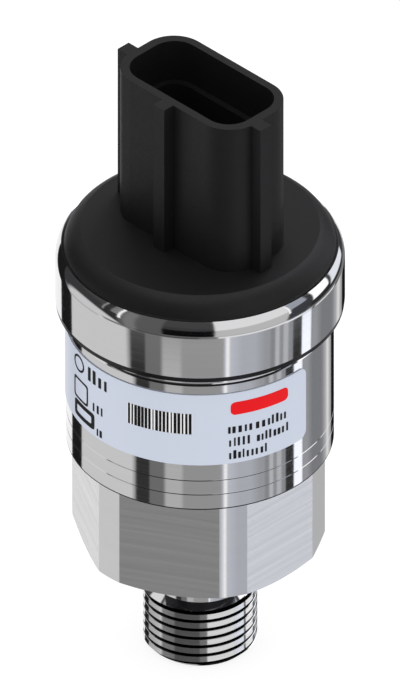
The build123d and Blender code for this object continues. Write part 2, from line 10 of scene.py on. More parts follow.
import bmesh
import bpy
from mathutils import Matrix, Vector


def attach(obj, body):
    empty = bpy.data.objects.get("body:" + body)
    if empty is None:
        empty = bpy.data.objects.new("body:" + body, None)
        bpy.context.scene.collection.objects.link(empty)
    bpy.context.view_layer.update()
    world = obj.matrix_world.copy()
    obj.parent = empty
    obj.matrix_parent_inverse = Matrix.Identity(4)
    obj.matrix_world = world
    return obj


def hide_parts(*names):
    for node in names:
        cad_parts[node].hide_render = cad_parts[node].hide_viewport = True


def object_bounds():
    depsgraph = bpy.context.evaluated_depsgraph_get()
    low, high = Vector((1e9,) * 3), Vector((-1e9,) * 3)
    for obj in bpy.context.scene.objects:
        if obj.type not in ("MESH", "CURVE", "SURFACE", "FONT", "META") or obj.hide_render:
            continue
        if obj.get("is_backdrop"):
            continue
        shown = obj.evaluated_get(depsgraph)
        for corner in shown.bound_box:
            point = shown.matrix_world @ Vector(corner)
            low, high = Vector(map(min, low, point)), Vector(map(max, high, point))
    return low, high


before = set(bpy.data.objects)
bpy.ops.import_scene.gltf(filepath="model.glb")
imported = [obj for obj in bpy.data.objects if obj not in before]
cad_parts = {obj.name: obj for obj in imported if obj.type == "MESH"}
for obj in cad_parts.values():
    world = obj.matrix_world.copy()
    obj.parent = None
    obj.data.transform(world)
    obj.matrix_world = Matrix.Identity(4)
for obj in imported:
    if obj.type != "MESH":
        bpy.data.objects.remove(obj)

MM = 0.001
BODY = "root"
MERGE_DISTANCE = 1e-6
SEGMENTS = 240
THREAD_ROWS = 16.0
SMOOTH_ANGLE = math.radians(20)
TURNS = [math.tau * step / SEGMENTS for step in range(SEGMENTS)]

log = logging.getLogger("transmitter")

Color = tuple[float, float, float]
Point = tuple[float, float]
Socket = bpy.types.NodeSocket
Tree = bpy.types.NodeTree
Piece = bpy.types.Object
Shape = bmesh.types.BMesh


class Grain(Enum):
    """How a surface was made, which sets the pattern of its relief and gloss."""

    TURNED = "turned"
    BRUSHED = "brushed"
    MOULDED = "moulded"
    PRINTED = "printed"
    WOVEN = "woven"


class Graph:
    """Adds the nodes of one tree and joins them."""

    def __init__(self, tree: Tree) -> None:
        """Keeps the tree and empties it."""
        self.tree = tree
        tree.nodes.clear()

    def add(self, kind: str, inputs: dict | None = None, **settings: object) -> bpy.types.Node:
        """Adds one node, sets its options and feeds its inputs.

        Args:
            kind: The node's type name.
            inputs: A value or another node's output for each input, by name or index.
            settings: The node's own options.

        Returns:
            The new node.
        """
        node = self.tree.nodes.new(kind)
        for name, value in settings.items():
            setattr(node, name, value)
        for key, value in (inputs or {}).items():
            if isinstance(value, Socket):
                self.tree.links.new(value, node.inputs[key])
            else:
                node.inputs[key].default_value = value
        return node

    def math(self, operation: str, *values: object, clamp: bool = False) -> Socket:
        """Adds a math node and returns its result, kept between 0 and 1 if clamped."""
        node = self.add("ShaderNodeMath", dict(enumerate(values)), operation=operation, use_clamp=clamp)
        return node.outputs[0]

    def operations(self, *names: str) -> list[partial]:
        """Returns a function for each named math operation."""
        return [partial(self.math, name) for name in names]

    def vector(self, operation: str, *values: object) -> Socket:
        """Adds a vector math node and returns its result."""
        node = self.add("ShaderNodeVectorMath", dict(enumerate(values)), operation=operation)
        return node.outputs["Value" if operation == "LENGTH" else "Vector"]

    def split(self, vector: Socket) -> list[Socket]:
        """Returns the three numbers of a vector."""
        return list(self.add("ShaderNodeSeparateXYZ", {0: vector}).outputs)

    def combine(self, *numbers: object) -> Socket:
        """Returns the vector of up to three numbers."""
        return self.add("ShaderNodeCombineXYZ", dict(enumerate(numbers))).outputs[0]

    def around(self, radius: Socket, turn: Socket, height: Socket) -> Socket:
        """Returns the place at this radius, angle and height."""
        cos, sin = self.math("COSINE", turn), self.math("SINE", turn)
        return self.combine(self.math("MULTIPLY", radius, cos), self.math("MULTIPLY", radius, sin), height)

    def axis_distance(self, place: Socket) -> Socket:
        """Returns how far a place is from the Z axis."""
        return self.vector("LENGTH", self.vector("MULTIPLY", place, (1.0, 1.0, 0.0)))

    def remap(self, value: Socket, low: float, high: float, to_low: float, to_high: float) -> Socket:
        """Maps one range of numbers to another and holds what lies outside at its ends."""
        return self.add("ShaderNodeMapRange", {0: value, 1: low, 2: high, 3: to_low, 4: to_high}).outputs[0]

    def mix(self, factor: Socket, first: object, second: object) -> Socket:
        """Mixes two colours by the share of the second."""
        return self.add("ShaderNodeMix", {0: factor, 6: first, 7: second}, data_type="RGBA").outputs[2]

    def noise(self, vector: Socket, scale: float, detail: float) -> Socket:
        """Adds a noise texture with this many features per metre and octaves."""
        return self.add("ShaderNodeTexNoise", {"Vector": vector, "Scale": scale, "Detail": detail}).outputs[0]


def solid(color: Color) -> tuple[float, float, float, float]:
    """Returns the colour with full opacity."""
    return (*color, 1.0)


@dataclass(frozen=True)
class Finish:
    """One finish: its two tones, gloss and relief, with painted shade inside a radius where set. Lengths are in
    millimetres.
    """

    name: str
    color: Color
    tone: Color
    grain: Grain
    roughness: tuple[float, float]
    metallic: float = 0.0
    grain_size: float = 0.3
    relief: float = 0.1
    relief_depth: float = 0.01
    specular: float = 0.5
    coat: float = 0.0
    transmission: float = 0.0
    # painted shade: radius in mm inside which the colour turns near-black
    painted_shade_within: float = 0.0

    GRAIN_DETAIL = 3.0
    GRAIN_RANGE = (0.3, 0.7)
    TONE_DETAIL = 2.0
    TONE_SHARE = 0.12
    TURNED_STRETCH = 0.01
    BRUSHED_STRETCH = (0.007, 0.007, 1.0)
    WEAVE_SHARE = 0.5
    COAT_ROUGHNESS = 0.15
    PAINTED_SHADE_COLOR = (0.03, 0.03, 0.032)
    PAINTED_SHADE_EDGE = 0.03

    @property
    def fineness(self) -> float:
        """Returns the number of grains in a metre."""
        return 1 / (self.grain_size * MM)

    def material(self) -> bpy.types.Material:
        """Returns the finish's material, made on first use."""
        return bpy.data.materials.get(self.name + "_finish") or self.build()

    def build(self) -> bpy.types.Material:
        """Builds the material's nodes.

        Returns:
            The new material.
        """
        material = bpy.data.materials.new(self.name + "_finish")
        material.use_nodes = True
        material.diffuse_color = solid(self.color)
        graph = Graph(material.node_tree)
        place = graph.add("ShaderNodeTexCoord").outputs["Object"]
        lines, patches = self.coordinates(graph, place)
        grain = graph.noise(lines, self.fineness, self.GRAIN_DETAIL)
        cloud = graph.noise(patches, self.TONE_SHARE * self.fineness, self.TONE_DETAIL)
        shade = graph.mix(cloud, solid(self.color), solid(self.tone))
        # Painted shade: inside this radius the colour fades to near-black, standing in for the shadow in the
        # thread's roots and flanks.
        if self.painted_shade_within:
            dark, bright = (self.painted_shade_within - self.PAINTED_SHADE_EDGE) * MM, self.painted_shade_within * MM
            light = graph.remap(graph.axis_distance(place), dark, bright, 0.0, 1.0)
            shade = graph.mix(light, solid(self.PAINTED_SHADE_COLOR), shade)
        bump = graph.add("ShaderNodeBump", {
            "Strength": self.relief, "Distance": self.relief_depth * MM, "Height": grain,
        })
        surface = graph.add("ShaderNodeBsdfPrincipled", {
            "Base Color": shade,
            "Roughness": graph.remap(grain, *self.GRAIN_RANGE, *self.roughness),
            "Normal": bump.outputs[0],
            "Metallic": self.metallic,
            "Specular IOR Level": self.specular,
            "Coat Weight": self.coat,
            "Coat Roughness": self.COAT_ROUGHNESS,
            "Transmission Weight": self.transmission,
        })
        graph.add("ShaderNodeOutputMaterial", {"Surface": surface.outputs[0]})
        return material

    def coordinates(self, graph: Graph, place: Socket) -> tuple[Socket, Socket]:
        """Adds the coordinates that the grain follows.

        Args:
            graph: The material's graph.
            place: The place on the piece.

        Returns:
            The grain's and the tone's coordinate sockets.
        """
        if self.grain is Grain.TURNED:
            x, _, z = graph.split(place)
            along = graph.math("MULTIPLY", x, self.TURNED_STRETCH)
            lines = graph.combine(graph.axis_distance(place), along, z)
            return lines, lines
        if self.grain is Grain.BRUSHED:
            lines = graph.vector("MULTIPLY", place, self.BRUSHED_STRETCH)
            return lines, lines
        if self.grain is Grain.WOVEN:
            weave = graph.add("ShaderNodeTexWave", {"Vector": place, "Scale": self.WEAVE_SHARE * self.fineness},
                              wave_type="BANDS", bands_direction="DIAGONAL")
            return graph.vector("ADD", place, weave.outputs["Color"]), place
        return place, place


FINISHES: dict[str, Finish] = {finish.name: finish for finish in (
    Finish("turned_steel", (0.80, 0.80, 0.80), (0.72, 0.72, 0.73), Grain.TURNED, (0.10, 0.20), metallic=1.0,
           grain_size=0.1, relief=0.15, relief_depth=0.004),
    Finish("polished_steel", (0.84, 0.84, 0.85), (0.79, 0.79, 0.80), Grain.TURNED, (0.04, 0.09), metallic=1.0,
           grain_size=0.12, relief=0.12, relief_depth=0.003),
    Finish("brushed_steel", (0.87, 0.87, 0.88), (0.66, 0.66, 0.67), Grain.BRUSHED, (0.15, 0.21), metallic=1.0,
           grain_size=0.07, relief=0.06, relief_depth=0.005),
    # thread_steel paints shade on its flanks and roots, everything within 5.5 mm of the axis
    Finish("thread_steel", (0.84, 0.84, 0.84), (0.74, 0.74, 0.74), Grain.TURNED, (0.06, 0.14), metallic=1.0,
           grain_size=0.15, relief_depth=0.004, painted_shade_within=5.50),
    # painted shade: near-black steel standing in for shade on the port's undersides, the flange's lower edge and the
    # collar's foot
    Finish("painted_shade_steel", (0.045, 0.045, 0.048), (0.025, 0.025, 0.028), Grain.TURNED, (0.25, 0.40),
           metallic=1.0, grain_size=0.12),
    Finish("black_plastic", (0.0062, 0.0062, 0.0064), (0.0082, 0.0082, 0.0084), Grain.MOULDED, (0.46, 0.56),
           grain_size=0.18, specular=0.28),
    Finish("label_film", (0.604, 0.651, 0.760), (0.590, 0.640, 0.750), Grain.PRINTED, (0.30, 0.36), grain_size=0.4,
           relief=0.03, relief_depth=0.005),
    Finish("black_ink", (0.004, 0.004, 0.005), (0.007, 0.007, 0.008), Grain.PRINTED, (0.42, 0.52), grain_size=0.2,
           relief=0.05, relief_depth=0.003, specular=0.2),
    Finish("white_ink", (0.90, 0.90, 0.91), (0.85, 0.86, 0.88), Grain.PRINTED, (0.34, 0.42), grain_size=0.2,
           relief=0.05, relief_depth=0.003),
    Finish("red_ink", (0.84, 0.003, 0.008), (0.78, 0.003, 0.007), Grain.PRINTED, (0.40, 0.50), grain_size=0.2,
           relief=0.05, relief_depth=0.003, specular=0.15),
    Finish("tinned_blades", (0.75, 0.74, 0.71), (0.66, 0.65, 0.62), Grain.BRUSHED, (0.28, 0.42), metallic=1.0,
           grain_size=0.2, relief=0.2),
    Finish("sealing_resin", (0.018, 0.018, 0.020), (0.026, 0.026, 0.028), Grain.MOULDED, (0.14, 0.24),
           grain_size=0.8, relief=0.2, coat=0.3),
    Finish("seal_rubber", (0.018, 0.018, 0.018), (0.030, 0.030, 0.029), Grain.MOULDED, (0.55, 0.75),
           grain_size=0.12, relief=0.3),
    Finish("silicon", (0.18, 0.19, 0.22), (0.26, 0.25, 0.30), Grain.BRUSHED, (0.12, 0.25), metallic=0.6,
           grain_size=0.2),
    Finish("bead_glass", (0.16, 0.26, 0.22), (0.22, 0.32, 0.26), Grain.MOULDED, (0.05, 0.12), relief=0.05,
           transmission=0.6),
    Finish("gold_pins", (0.85, 0.60, 0.24), (0.75, 0.50, 0.18), Grain.BRUSHED, (0.18, 0.30), metallic=1.0,
           grain_size=0.1),
    Finish("carrier_plastic", (0.66, 0.63, 0.56), (0.60, 0.57, 0.50), Grain.MOULDED, (0.45, 0.58), grain_size=0.2,
           relief=0.15),
    Finish("circuit_board", (0.015, 0.15, 0.06), (0.03, 0.24, 0.10), Grain.WOVEN, (0.25, 0.40), relief=0.2,
           coat=0.4),
    Finish("chip_plastic", (0.022, 0.022, 0.023), (0.034, 0.034, 0.034), Grain.MOULDED, (0.50, 0.65),
           grain_size=0.08, relief=0.3),
    Finish("capacitor_ceramic", (0.50, 0.36, 0.22), (0.42, 0.30, 0.18), Grain.MOULDED, (0.30, 0.45),
           grain_size=0.1, relief=0.2),
)}


def around(radius: float, turn: float, height: float) -> tuple[float, float, float]:
    """Returns the place at this radius, angle and height."""
    return radius * math.cos(turn), radius * math.sin(turn), height


def join_rings(mesh: Shape, rings: list[list[bmesh.types.BMVert]], closed: bool = True) -> None:
    """Joins each ring of corners to the next with quads.

    Args:
        mesh: The mesh that has the corners.
        rings: The rings, with the same number of corners each.
        closed: Whether the last ring is joined to the first.
    """
    following = rings[1:] + rings[:1] if closed else rings[1:]
    for ring, after in zip(rings, following):
        for corner in range(len(ring)):
            mesh.faces.new((ring[corner - 1], after[corner - 1], after[corner], ring[corner]))


def lathe(outline: list[Point]) -> Shape:
    """Turns a closed outline round the Z axis.

    Args:
        outline: Radius and height of its corners in order, in metres, all off the axis.

    Returns:
        The closed mesh.
    """
    mesh = bmesh.new()
    join_rings(mesh, [
        [mesh.verts.new(around(radius, turn, height)) for radius, height in outline] for turn in TURNS
    ])
    return mesh


def cleaned(name: str, mesh: Shape, angle: float = SMOOTH_ANGLE) -> bpy.types.Mesh:
    """Closes, orients and shades a mesh.

    Args:
        name: The result's name.
        mesh: The mesh, which is freed.
        angle: The sharpest edge that is smoothed, in radians.

    Returns:
        The mesh as data for an object.
    """
    bmesh.ops.remove_doubles(mesh, verts=mesh.verts, dist=MERGE_DISTANCE)
    bmesh.ops.dissolve_degenerate(mesh, edges=mesh.edges, dist=MERGE_DISTANCE)
    bmesh.ops.recalc_face_normals(mesh, faces=mesh.faces)
    for face in mesh.faces:
        face.smooth = True
    for edge in mesh.edges:
        edge.smooth = len(edge.link_faces) == 2 and edge.calc_face_angle(math.pi) < angle
    data = bpy.data.meshes.new(name)
    mesh.to_mesh(data)
    mesh.free()
    return data


def linked(name: str, data: bpy.types.ID) -> Piece:
    """Puts a new object with this data into the scene.

    Args:
        name: The object's name.
        data: Its mesh, lamp or camera.

    Returns:
        The new object, at the origin.
    """
    item = bpy.data.objects.new(name, data)
    bpy.context.scene.collection.objects.link(item)
    return item


def finished(name: str, mesh: Shape, finishes: tuple[str, ...], angle: float = SMOOTH_ANGLE) -> Piece:
    """Makes a piece of a mesh.

    Args:
        name: The piece's name.
        mesh: The mesh, which is freed.
        finishes: The name of each material slot's finish.
        angle: The sharpest edge that is smoothed, in radians.

    Returns:
        The new piece.
    """
    data = cleaned(name, mesh, angle)
    for finish in finishes:
        data.materials.append(FINISHES[finish].material())
    return linked(name, data)


def grown(name: str, base: bpy.types.Mesh, tree: Tree, inputs: dict[str, object]) -> Piece:
    """Runs a geometry tree on a mesh and keeps the result as a plain mesh.

    Args:
        name: The new piece's name.
        base: The mesh that the tree starts from.
        tree: The geometry tree.
        inputs: The tree's input values by name.

    Returns:
        The new piece, with no modifier.
    """
    piece = linked(name, base)
    modifier = piece.modifiers.new(name, "NODES")
    modifier.node_group = tree
    for item in tree.interface.items_tree:
        if item.item_type == "SOCKET" and item.in_out == "INPUT" and item.name in inputs:
            modifier[item.identifier] = inputs[item.name]
    piece.update_tag()
    depsgraph = bpy.context.evaluated_depsgraph_get()
    result = bpy.data.meshes.new_from_object(piece.evaluated_get(depsgraph), depsgraph=depsgraph)
    piece.modifiers.remove(modifier)
    piece.data = result
    result.name = name
    return piece


def geometry_tree(name: str, numbers: tuple[str, ...], counts: tuple[str, ...] = ()) -> tuple[Graph, list[Socket]]:
    """Starts a geometry tree with named inputs.

    Args:
        name: The tree's name.
        numbers: The names of its number inputs.
        counts: The names of its whole-number inputs.

    Returns:
        The tree's graph and its input sockets: geometry, numbers, counts and material.
    """
    tree = bpy.data.node_groups.new(name, "GeometryNodeTree")
    tree.is_modifier = True
    kinds = dict.fromkeys(numbers, "Float") | dict.fromkeys(counts, "Int")
    for label, kind in ({"Geometry": "Geometry"} | kinds | {"Material": "Material"}).items():
        tree.interface.new_socket(label, in_out="INPUT", socket_type="NodeSocket" + kind)
    tree.interface.new_socket("Geometry", in_out="OUTPUT", socket_type="NodeSocketGeometry")
    graph = Graph(tree)
    return graph, [socket for socket in graph.add("NodeGroupInput").outputs if socket.name]


def close_tree(graph: Graph, geometry: Socket, material: Socket) -> Tree:
    """Ends a geometry tree with realized instances in one material.

    Args:
        graph: The tree's graph.
        geometry: The geometry so far.
        material: The material's socket.

    Returns:
        The whole tree.
    """
    real = graph.add("GeometryNodeRealizeInstances", {0: geometry})
    painted = graph.add("GeometryNodeSetMaterial", {"Geometry": real.outputs[0], "Material": material})
    graph.add("NodeGroupOutput", {0: painted.outputs[0]})
    return graph.tree


def wrap_tree() -> Tree:
    """Builds the tree that bends a flat print round the housing.

    Returns:
        The tree. X becomes the way round, Y the height and Z the distance from the wall.
    """
    graph, (flat, radius, facing, level, material) = geometry_tree("wrap_round", ("Radius", "Facing", "Level"))
    x, y, z = graph.split(graph.add("GeometryNodeInputPosition").outputs[0])
    add, div = graph.operations("ADD", "DIVIDE")
    wrapped = graph.around(add(z, radius), add(div(x, radius), facing), add(y, level))
    moved = graph.add("GeometryNodeSetPosition", {"Geometry": flat, "Position": wrapped})
    return close_tree(graph, moved.outputs[0], material)


def thread_tree() -> Tree:
    """Builds the tree of a right-hand thread, from its free end up to the neck.

    Returns:
        The tree. It makes its own grid, with THREAD_ROWS rows for each turn.
    """
    graph, sockets = geometry_tree(
        "cut_thread",
        ("Pitch", "Crest Radius", "Root Radius", "Nose Radius", "Neck Radius", "Height", "Crest Fall",
         "Crest Share", "Flank Share"),
        ("Turns", "Segments"),
    )
    _, pitch, crest, root, nose, neck, top, crest_fall, crest_share, flank_share, turns, segments, material = sockets
    add, sub, mul, div, least = graph.operations("ADD", "SUBTRACT", "MULTIPLY", "DIVIDE", "MINIMUM")
    grid = graph.add("GeometryNodeMeshGrid", {
        "Size X": 1.0, "Size Y": 1.0, "Vertices X": add(segments, 1.0),
        "Vertices Y": add(mul(turns, THREAD_ROWS), 1.0),
    })
    x, y, _ = graph.split(graph.add("GeometryNodeInputPosition").outputs[0])
    share = add(x, 0.5)
    row = mul(add(y, 0.5), turns)
    rise = mul(sub(add(row, share), 1.0), pitch)
    height = least(graph.math("MAXIMUM", rise, 0.0), top)
    line = graph.math("ROUND", mul(row, THREAD_ROWS))
    phase = div(graph.math("MODULO", line, THREAD_ROWS), THREAD_ROWS)
    down = div(sub(phase, crest_share), flank_share, clamp=True)
    up_start = sub(1.0, flank_share)
    up = div(sub(phase, up_start), flank_share, clamp=True)
    fullness = add(sub(1.0, down), up)
    full = add(mul(fullness, sub(crest, root)), root)
    worn = mul(div(phase, crest_share, clamp=True), crest_fall)
    form = sub(full, mul(worn, sub(1.0, up)))
    nose_cone = add(nose, height)
    neck_cone = add(neck, sub(top, height))
    radius = least(form, least(nose_cone, neck_cone))
    wound = graph.around(radius, mul(share, math.tau), height)
    moved = graph.add("GeometryNodeSetPosition", {"Geometry": grid.outputs[0], "Position": wound})
    merged = graph.add("GeometryNodeMergeByDistance", {"Geometry": moved.outputs[0], "Distance": MERGE_DISTANCE})
    return close_tree(graph, merged.outputs[0], material)


def bar_tree() -> Tree:
    """Builds the tree of a row of upright bars of seeded random widths.

    Returns:
        The tree. The bars stand side by side along X, centred on the origin.
    """
    graph, (_, pitch, height, thickness, narrowest, widest, count, seed, material) = geometry_tree(
        "bar_row", ("Pitch", "Height", "Thickness", "Narrowest", "Widest"), ("Count", "Seed"))
    half = graph.math("MULTIPLY", graph.math("SUBTRACT", count, 1.0), -0.5)
    line = graph.add("GeometryNodeMeshLine", {
        "Count": count, "Start Location": graph.combine(graph.math("MULTIPLY", half, pitch)),
        "Offset": graph.combine(pitch),
    })
    width = graph.add("FunctionNodeRandomValue", data_type="FLOAT")
    for name, value in (("Min", narrowest), ("Max", widest), ("Seed", seed)):
        graph.tree.links.new(value, next(end for end in width.inputs if end.name == name and end.enabled))
    size = graph.combine(next(end for end in width.outputs if end.enabled), height, thickness)
    bar = graph.add("GeometryNodeMeshCube", {"Size": (1.0, 1.0, 1.0)})
    bars = graph.add("GeometryNodeInstanceOnPoints", {
        "Points": line.outputs[0], "Instance": bar.outputs[0], "Scale": size,
    })
    return close_tree(graph, bars.outputs[0], material)


def place_on_body(piece: Piece, slot: str, *nodes: str) -> None:
    """Fixes a finished piece to the part.

    Args:
        piece: The piece.
        slot: The record's material slot; not used.
        nodes: The solids that it stands for.
    """
    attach(piece, BODY)
    if nodes:
        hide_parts(*nodes)
    log.info("%s: %d faces", piece.name, len(piece.data.polygons))


@dataclass
class Port:
    """The steel port body, with its thread cut and its hexagon milled. Sizes are in metres."""

    crest_radius: float = 5.55625 * MM
    thread_depth: float = 0.325 * MM
    pitch: float = 1.0 * MM
    crest_share: float = 9 / 16
    flank_share: float = 3 / 16
    crest_fall: float = 0.04 * MM
    nose_radius: float = 4.90625 * MM
    neck_radius: float = 4.8 * MM
    thread_top: float = 7.43625 * MM
    neck_top: float = 10.06 * MM
    boss_radius: float = 8.0 * MM
    boss_chamfer: float = 0.35 * MM
    hexagon_low: float = 12.46 * MM
    hexagon_high: float = 24.24 * MM
    hexagon_apothem: float = 11.5 * MM
    hexagon_turned_radius: float = 12.55 * MM
    hexagon_face_radius: float = 10.92 * MM
    hexagon_chamfer: float = math.radians(28)
    cut_corner_reach: float = 11.93 * MM
    flange_radius: float = 13.0 * MM
    flange_shade_band: float = 0.12 * MM
    seam_level: float = 26.0 * MM
    seam_chamfer: float = 0.05 * MM
    spigot_radius: float = 11.88 * MM
    spigot_top: float = 29.0 * MM
    spigot_chamfer: float = 0.12 * MM
    pocket_radius: float = 8.0 * MM
    pocket_floor: float = 20.0 * MM
    chamber_radius: float = 5.5 * MM
    chamber_floor: float = 19.0 * MM
    bore_radius: float = 1.5 * MM
    mouth_radius: float = 1.8 * MM
    mouth_depth: float = 0.3 * MM
    slack: float = 0.01 * MM
    upright_slope: float = 0.01
    underside_shade_slope: float = -0.6
    smooth_angle: float = math.radians(18)

    def build(self) -> None:
        """Builds the dressed port body."""
        finishes = ("polished_steel", "brushed_steel", "thread_steel", "painted_shade_steel")
        mesh = self.milled_mesh()
        thread = self.thread()
        mesh.from_mesh(thread.data)
        bpy.data.objects.remove(thread)
        mesh.normal_update()
        for face in mesh.faces:
            face.material_index = finishes.index(self.finish_of(face))
        piece = finished("threaded_port", mesh, finishes, self.smooth_angle)
        place_on_body(piece, "turned_steel", "port_body")

    def milled_mesh(self) -> Shape:
        """Turns the body above the thread and mills its hexagon.

        Returns:
            The mesh, open where the thread joins it.
        """
        milled = self.milled_columns()
        reaches = [self.hexagon_reach(turn) for turn in milled]
        slope = math.tan(self.hexagon_chamfer)
        chamfer = [self.hexagon_low + (reach - self.hexagon_face_radius) * slope for reach in reaches]
        rings = [
            *((TURNS, [radius], [level]) for radius, level in self.foot_outline()),
            (milled, [self.hexagon_face_radius], [self.hexagon_low]),
            (milled, reaches, chamfer),
            (milled, reaches, [self.hexagon_high]),
            *((TURNS, [radius], [level]) for radius, level in self.head_outline()),
        ]
        mesh = bmesh.new()
        corners = [
            [mesh.verts.new(around(*place)) for place in zip(cycle(radii), turns, cycle(levels))]
            for turns, radii, levels in rings
        ]
        join_rings(mesh, corners[::-1], closed=False)
        return mesh

    def foot_outline(self) -> list[Point]:
        """Returns the outline from the thread's upper end to the hexagon's foot."""
        return [
            (self.neck_radius, self.thread_top),
            (self.neck_radius, self.neck_top),
            (self.boss_radius - self.boss_chamfer, self.neck_top),
            (self.boss_radius, self.neck_top + self.boss_chamfer),
            (self.boss_radius, self.hexagon_low),
        ]

    def head_outline(self) -> list[Point]:
        """Returns the outline from the hexagon's top over the flange and down inside to the thread's free end."""
        return [
            (self.flange_radius, self.hexagon_high),
            # the band up to here gets painted shade, a dark line under the flange
            (self.flange_radius, self.hexagon_high + self.flange_shade_band),
            (self.flange_radius, self.seam_level - self.seam_chamfer),
            (self.flange_radius - self.seam_chamfer, self.seam_level),
            (self.spigot_radius, self.seam_level),
            (self.spigot_radius, self.spigot_top - self.spigot_chamfer),
            (self.spigot_radius - self.spigot_chamfer, self.spigot_top),
            (self.pocket_radius, self.spigot_top),
            (self.pocket_radius, self.pocket_floor),
            (self.chamber_radius, self.pocket_floor),
            (self.chamber_radius, self.chamber_floor),
            (self.bore_radius, self.chamber_floor),
            (self.bore_radius, self.mouth_depth),
            (self.mouth_radius, 0.0),
            (self.nose_radius, 0.0),
        ]

    def milled_columns(self) -> list[float]:
        """Returns the angles of the hexagon's columns, with one on each of its upright edges."""
        step = math.tau / SEGMENTS
        turns = list(TURNS)
        turned_half = math.pi / 6 - math.acos(self.hexagon_apothem / self.hexagon_turned_radius)
        share = self.cut_corner_reach / self.hexagon_apothem
        cut_half = math.pi / 6 - math.atan((share - math.cos(math.pi / 6)) / math.sin(math.pi / 6))
        for corner in range(6):
            middle = math.tau * (corner + 0.5) / 6
            half = turned_half if corner else cut_half
            for edge in (middle - half, middle + half):
                turns[round(edge / step) % SEGMENTS] = edge
        return turns

    def hexagon_reach(self, turn: float) -> float:
        """Returns how far the hexagon reaches from the axis at this angle.

        Args:
            turn: The angle from X, in radians.

        Returns:
            The distance to its flat, its turned corner or the flat of its cut corner.
        """
        sixth = math.tau / 6
        off_flat = (turn + sixth / 2) % sixth - sixth / 2
        reach = min(self.hexagon_apothem / math.cos(off_flat), self.hexagon_turned_radius)
        off_cut = (turn - sixth / 2 + math.pi) % math.tau - math.pi
        if abs(off_cut) < sixth / 2:
            reach = min(reach, self.cut_corner_reach / math.cos(off_cut))
        return reach

    def thread(self) -> Piece:
        """Winds the thread.

        Returns:
            The open shell of the thread alone.
        """
        return grown("thread", bpy.data.meshes.new("thread_start"), thread_tree(), {
            "Pitch": self.pitch, "Crest Radius": self.crest_radius,
            "Root Radius": self.crest_radius - self.thread_depth, "Nose Radius": self.nose_radius,
            "Neck Radius": self.neck_radius, "Height": self.thread_top, "Crest Fall": self.crest_fall,
            "Crest Share": self.crest_share, "Flank Share": self.flank_share,
            "Turns": math.ceil(self.thread_top / self.pitch) + 1, "Segments": SEGMENTS,
            "Material": FINISHES["thread_steel"].material(),
        })

    def finish_of(self, face: bmesh.types.BMFace) -> str:
        """Chooses the finish of a face by its place and slope.

        Args:
            face: The face.

        Returns:
            The name of the finish: the thread's, the painted shade of an underside or of the flange's lower edge, a
                flat's or a turned wall's.
        """
        middle = face.calc_center_median()
        radius = math.hypot(middle.x, middle.y)
        runout = abs(radius - (self.neck_radius + self.thread_top - middle.z)) < self.slack
        if middle.z < self.thread_top and radius > self.neck_radius and not runout:
            return "thread_steel"
        upright = abs(face.normal.z) < self.upright_slope
        # Undersides and the band at the flange's foot get painted shade.
        underside = face.normal.z < self.underside_shade_slope and middle.z > self.thread_top
        if underside or upright and self.hexagon_high < middle.z < self.hexagon_high + self.flange_shade_band:
            return "painted_shade_steel"
        reach = abs(face.normal.x * middle.x + face.normal.y * middle.y)
        flat = upright and abs(reach - self.hexagon_apothem) < self.slack
        milled = flat and self.hexagon_low < middle.z < self.hexagon_high
        return "brushed_steel" if milled else "polished_steel"


